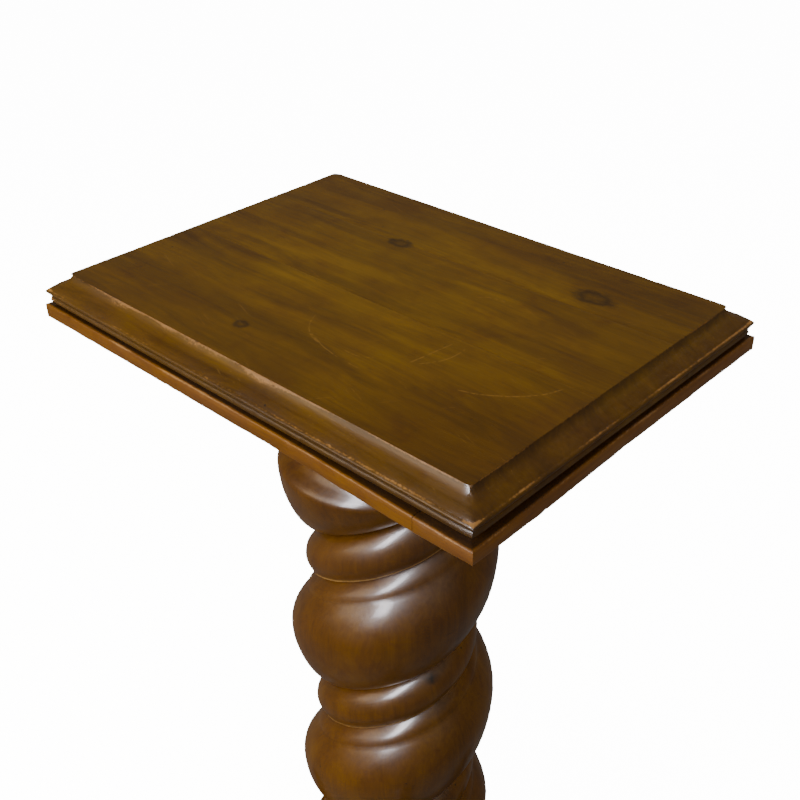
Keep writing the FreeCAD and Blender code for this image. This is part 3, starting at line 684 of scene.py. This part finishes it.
def twist_profile():
    """(rise, radius, wear and painted highlight, painted shade) up one turn, from the bead's lip to the
    next one's. The lip's arris is pale with wear and a painted highlight; the notch, the crease above
    the cove and the lip's root are darkened with painted shade.
    """
    cove_low = PITCH - BEAD_LOW - COVE_RISE
    # The lip's arris: pale with wear and a painted highlight.
    profile = [(-BEAD_LOW - 1.0, LIP - 1.2, 0.9, 0.0), (-BEAD_LOW, LIP + 0.4, 1.0, 0.0)]
    for step in range(1, CURVE_STEPS + 1):
        share = step / CURVE_STEPS
        radius = LIP + (BEAD_OUT - LIP) * math.sin(math.pi / 2 * share)
        profile.append((-BEAD_LOW * (1 - share), radius, 0.9 if step == 1 else 0.0, 0.0))
    # The bead's top, with painted shade where it runs into the notch.
    for step in range(1, CURVE_STEPS + 1):
        angle = math.pi / 2 * step / CURVE_STEPS
        radius = NOTCH + (BEAD_OUT - NOTCH) * math.cos(angle)
        profile.append((BEAD_HALF * math.sin(angle), radius, 0.0, 0.5 * (step > CURVE_STEPS - 2)))
    for step in range(1, ROLL_STEPS + 1):
        angle = math.pi / 2 * step / ROLL_STEPS
        rise = ROLL_RISE - (ROLL_RISE - BEAD_HALF) * math.cos(angle)
        swell = math.sqrt(1 - abs(math.cos(angle)) ** ROLL_FULLNESS)
        profile.append((rise, NOTCH + (ROLL_OUT - NOTCH) * swell, 0.0, 0.0))
    # The roll's shoulder, with painted shade in the crease above the cove.
    for step in range(1, SHOULDER_STEPS + 1):
        share = step / SHOULDER_STEPS
        rise = ROLL_RISE + (cove_low - ROLL_RISE) * share
        radius = ROLL_OUT - (ROLL_OUT - COVE_OUT) * share ** 2
        profile.append((rise, radius, 0.0, 0.4 * (step == SHOULDER_STEPS)))
    # The cove, with painted shade at the lip's root.
    for step in range(1, CURVE_STEPS + 1):
        share = step / CURVE_STEPS
        rise = cove_low + (COVE_RISE - 1.8) * share
        radius = COVE_OUT + (LIP_ROOT - COVE_OUT) * share + 2.6 * math.sin(math.pi * share)
        profile.append((rise, radius, 0.0, 0.9 * (step == CURVE_STEPS)))
    return profile


def twist_turn(height, rise):
    """The angle where the profile's rise meets a height. The carver's line wanders a little, so
    the angle is found by repeating the step until it settles."""
    angle = BEAD_ANGLE + 2 * math.pi * (height - rise - BEAD_HEIGHT) / PITCH
    plain = angle
    for _ in range(5):
        angle = plain - 2 * math.pi / PITCH * WANDER * math.cos(angle - WANDER_ANGLE)
    return angle


def twist_ring(profile, height):
    """The column's outline at one height, in the order of the profile. The twist grows out of the
    round foot and dies away under the neck."""
    share = ease((height - TWIST_LOW) / TWIST_GROWS) * ease((TWIST_HIGH - height) / TWIST_FADES)
    plain = FOOT_RADIUS if height < (TWIST_LOW + TWIST_HIGH) / 2 else NECK_RADIUS
    ring = []
    for rise, radius, wear_and_highlight, shade_and_grime in profile:
        angle = twist_turn(height, rise)
        way = Vector((math.cos(angle), math.sin(angle), 0))
        reach = plain + (radius - plain) * share
        here = way * reach + Vector((0, 0, height))
        reach += share * (0.55 * rough(here, 45, 21.0) + 0.18 * rough(here, 14, 22.0))
        nicks = max(rough(here, 9, 27.0), 0) * wear_and_highlight
        ring.append((way * (reach - nicks) + Vector((0, 0, height)), wear_and_highlight * share, shade_and_grime * share))
    return ring


def knot_on_bead(point):
    """1 at an old knot on the bead and less along a short check in the roll, both at the front."""
    knot = ease(1.4 - (point - KNOT_PLACE).length / KNOT_SIZE)
    upright = abs(point.z - CHECK_PLACE.z) / CHECK_HEIGHT
    across = (point - CHECK_PLACE).to_2d().length / CHECK_WIDTH
    return max(knot, 0.8 * ease(1.3 - max(upright, across)))


def make_column(materials):
    """One high web of points: tenon, foot, twist, neck, capital and tenon."""
    low, high = node_box("column")
    deck = node_box("platform_upper")[1].z
    seat = node_box("tilt_block")[0].z
    profile = twist_profile()
    levels = round((TWIST_HIGH - TWIST_LOW) / WEB_STEP)
    rings = []

    def plain(height, radius, shade_and_grime=0.0):
        """Add a round ring whose points stand in line with the twist's."""
        ring = []
        for rise, _, _, _ in profile:
            angle = twist_turn(min(max(height, TWIST_LOW), TWIST_HIGH), rise)
            point = Vector((radius * math.cos(angle), radius * math.sin(angle), height))
            ring.append((point, 0.0, shade_and_grime))
        rings.append(ring)

    for height, radius in ((low.z, FOOT_TENON - 0.8), (low.z + 0.8, FOOT_TENON), (deck, FOOT_TENON),
                           (deck, FOOT_RADIUS - 0.3), (TWIST_LOW - 1, FOOT_RADIUS - 0.3)):
        plain(height, radius)
    rings += [twist_ring(profile, TWIST_LOW + (TWIST_HIGH - TWIST_LOW) * level / levels)
              for level in range(levels + 1)]
    # Painted shade in the crease between the twist and the neck's ring.
    plain(TWIST_HIGH + 0.8, NECK_RADIUS - 0.5, 1.0)
    ring_mould = arc((TWIST_HIGH + 1.5, NECK_RADIUS - 0.2), (TWIST_HIGH + 8, NECK_RADIUS - 0.2), 1.6, 6)
    hollow = arc((TWIST_HIGH + 9, NECK_RADIUS - 3), (seat - 15, NECK_RADIUS - 4), -2.6, 12)
    abacus = arc((seat - 13, NECK_RADIUS), (seat - 1, NECK_RADIUS + 1.6), 1.4, 6)
    for spot in ring_mould + hollow + abacus:
        plain(spot.x, spot.y)
    for height, radius in ((seat, NECK_RADIUS + 1), (seat, HEAD_TENON), (high.z - 0.6, HEAD_TENON),
                           (high.z, HEAD_TENON - 0.6)):
        plain(height, radius)

    points, wear_and_highlight, shade_and_grime, loops = [], [], [], []
    for ring in rings:
        loops.append(range(len(points), len(points) + len(ring)))
        for point, worn_and_lit, shade_and_dirt in ring:
            points.append(point)
            wear_and_highlight.append(worn_and_lit)
            # Painted shade in the creases, and the dark knot and check on the bead.
            shade_and_grime.append(max(shade_and_dirt, knot_on_bead(point)))
    faces = [face for first, second in zip(loops, loops[1:]) for face in ring_faces(first, second)]
    faces += [tuple(loops[0]), tuple(loops[-1])]
    mesh_piece("column_carved", points, faces, materials["column"], "pedestal",
               "column", {"wear_and_highlight": wear_and_highlight, "shade_and_grime": shade_and_grime}, sharp=50)


# ---------------------------------------------------------------- the carried-over nodes

NODE_MATERIALS = {
    "platform_lower": "base", "platform_upper": "base", "base_collar": "base",
    "foot_front_left": "base", "foot_front_right": "base", "foot_rear_left": "base",
    "foot_rear_right": "base", "tilt_block": "beech_block", "bearer_left": "beech",
    "bearer_right": "beech", "head_wedges": "beech", "foot_wedges": "beech",
    "catch_plate": "brass", "catch_guides": "brass", "catch_screws": "brass", "catch_bolt": "brass",
    "catch_knob": "brass", "strike_plate": "brass", "strike_screws": "brass",
    "platform_screws": "steel", "bearer_screws": "steel",
    "pivot_pin_left": "steel", "pivot_pin_right": "steel",
}

# How wide the arrises of these are rounded, in millimetres.
SOFTENED = {"platform_lower": 1.6, "platform_upper": 2.0, "base_collar": 1.2, "tilt_block": 1.2,
            "bearer_left": 1.2, "bearer_right": 1.2, "catch_plate": 0.3, "catch_guides": 0.3,
            "strike_plate": 0.3, "catch_knob": 0.3}


def dress_nodes(materials):
    """Give the CAD solids that stay their materials, and soften the arrises that need it."""
    for node, material in NODE_MATERIALS.items():
        piece = bpy.data.objects[node]
        if node in SOFTENED:
            soften = piece.modifiers.new("soften", "BEVEL")
            soften.width = SOFTENED[node] * MM
            soften.segments = 3
            soften.angle_limit = math.radians(40)
        for slot in piece.material_slots:
            slot.material = materials[material]


# ---------------------------------------------------------------- the studio

CAMERA_PLACE = Vector((500.6, -508.4, 1118.8)) * MM
CAMERA_TURN = math.radians(43.85)
CAMERA_DIP = math.radians(32.61)
CAMERA_ROLL = math.radians(-1.10)
CAMERA_LENS = 48.33
CAMERA_SENSOR = 36.0


def make_camera():
    """The view from the front right and above, rolled a little."""
    data = bpy.data.cameras.new("camera")
    data.lens = CAMERA_LENS
    data.sensor_width = CAMERA_SENSOR
    camera = bpy.data.objects.new("camera", data)
    bpy.context.scene.collection.objects.link(camera)
    ahead = Vector((-math.sin(CAMERA_TURN) * math.cos(CAMERA_DIP),
                    math.cos(CAMERA_TURN) * math.cos(CAMERA_DIP), -math.sin(CAMERA_DIP)))
    level = ahead.cross(Vector((0, 0, 1))).normalized()
    upright = level.cross(ahead)
    right = level * math.cos(CAMERA_ROLL) + upright * math.sin(CAMERA_ROLL)
    above = upright * math.cos(CAMERA_ROLL) - level * math.sin(CAMERA_ROLL)
    facing = Matrix((right, above, -ahead)).transposed().to_4x4()
    camera.matrix_world = Matrix.Translation(CAMERA_PLACE) @ facing
    bpy.context.scene.camera = camera


def softbox(name, place, target, width, height, watts, colour=(1, 1, 1)):
    """A rectangular lamp at a place, turned to a target, in metres."""
    data = bpy.data.lights.new(name, "AREA")
    data.shape = "RECTANGLE"
    data.size, data.size_y = width, height
    data.energy = watts
    data.color = colour
    lamp = bpy.data.objects.new(name, data)
    bpy.context.scene.collection.objects.link(lamp)
    lamp.location = place
    lamp.rotation_euler = (Vector(target) - Vector(place)).to_track_quat("-Z", "Y").to_euler()
    return lamp


def make_floor():
    """A wide pale floor, bright enough to stay plain behind the table. It neither shows in the
    polish nor lights the table."""
    tree = Tree("pale_floor")
    shade = tree.noise(tree.place(), 0.004, detail=2)
    pale = tree.ramp(shade, (0.3, (0.86, 0.86, 0.86)), (0.7, (0.9, 0.9, 0.9)))
    tree.feed(tree.shader.inputs["Base Color"], pale)
    tree.shader.inputs["Roughness"].default_value = 0.9
    tree.shader.inputs["Emission Color"].default_value = (1, 1, 1, 1)
    tree.shader.inputs["Emission Strength"].default_value = 14.0
    reach = 12.0
    corners = [(-reach, -reach, 0), (reach, -reach, 0), (reach, reach, 0), (-reach, reach, 0)]
    mesh = bpy.data.meshes.new("floor")
    mesh.from_pydata(corners, [], [(0, 1, 2, 3)])
    mesh.materials.append(tree.material)
    floor = bpy.data.objects.new("floor", mesh)
    bpy.context.scene.collection.objects.link(floor)
    floor.visible_glossy = False
    floor.visible_diffuse = False


def make_lights():
    """Wide soft lights with no glare, and three that only give the gloss: a warm one at the front
    left, and a cool window in two panes at the front."""
    fills = [softbox("key", (-1.25, -2.6, 1.5), (0, 0, 0.5), 2.2, 1.5, 118, (1.0, 0.94, 0.66)),
             softbox("overhead", (-0.5, -0.3, 2.9), (0, 0, 0.76), 1.2, 1.2, 48, (1.0, 0.97, 0.70)),
             softbox("low", (-0.7, -2.4, 0.5), (0, 0, 0.6), 1.2, 0.9, 14, (1.0, 0.93, 0.64)),
             softbox("right", (2.6, -0.7, 1.7), (0, 0, 0.5), 1.4, 1.4, 30, (1.0, 0.93, 0.78)),
             softbox("back", (0.6, 2.7, 2.0), (0, 0, 0.6), 1.4, 1.0, 24)]
    for fill in fills:
        fill.visible_glossy = False
    glows = [softbox("glow", (-1.3, -2.6, 1.45), (0, 0, 0.6), 1.5, 1.2, 23, (1.0, 0.78, 0.56)),
             softbox("window", (0.36, -1.86, 1.98), (0, 0, 0.5), 0.6, 0.9, 110, (0.84, 0.89, 1.0)),
             softbox("window_low", (0.36, -2.2, 1.35), (0, 0, 0.5), 0.6, 0.6, 62, (0.84, 0.89, 1.0))]
    for glow in glows:
        glow.visible_diffuse = False
    world = bpy.data.worlds.new("studio")
    world.use_nodes = True
    background = world.node_tree.nodes["Background"]
    background.inputs["Color"].default_value = (1, 1, 1, 1)
    background.inputs["Strength"].default_value = 0.12
    bpy.context.scene.world = world


def main():
    """Build everything."""
    materials = make_materials()
    make_top(materials)
    make_banding(materials)
    make_column(materials)
    dress_nodes(materials)
    make_camera()
    make_floor()
    make_lights()


main()
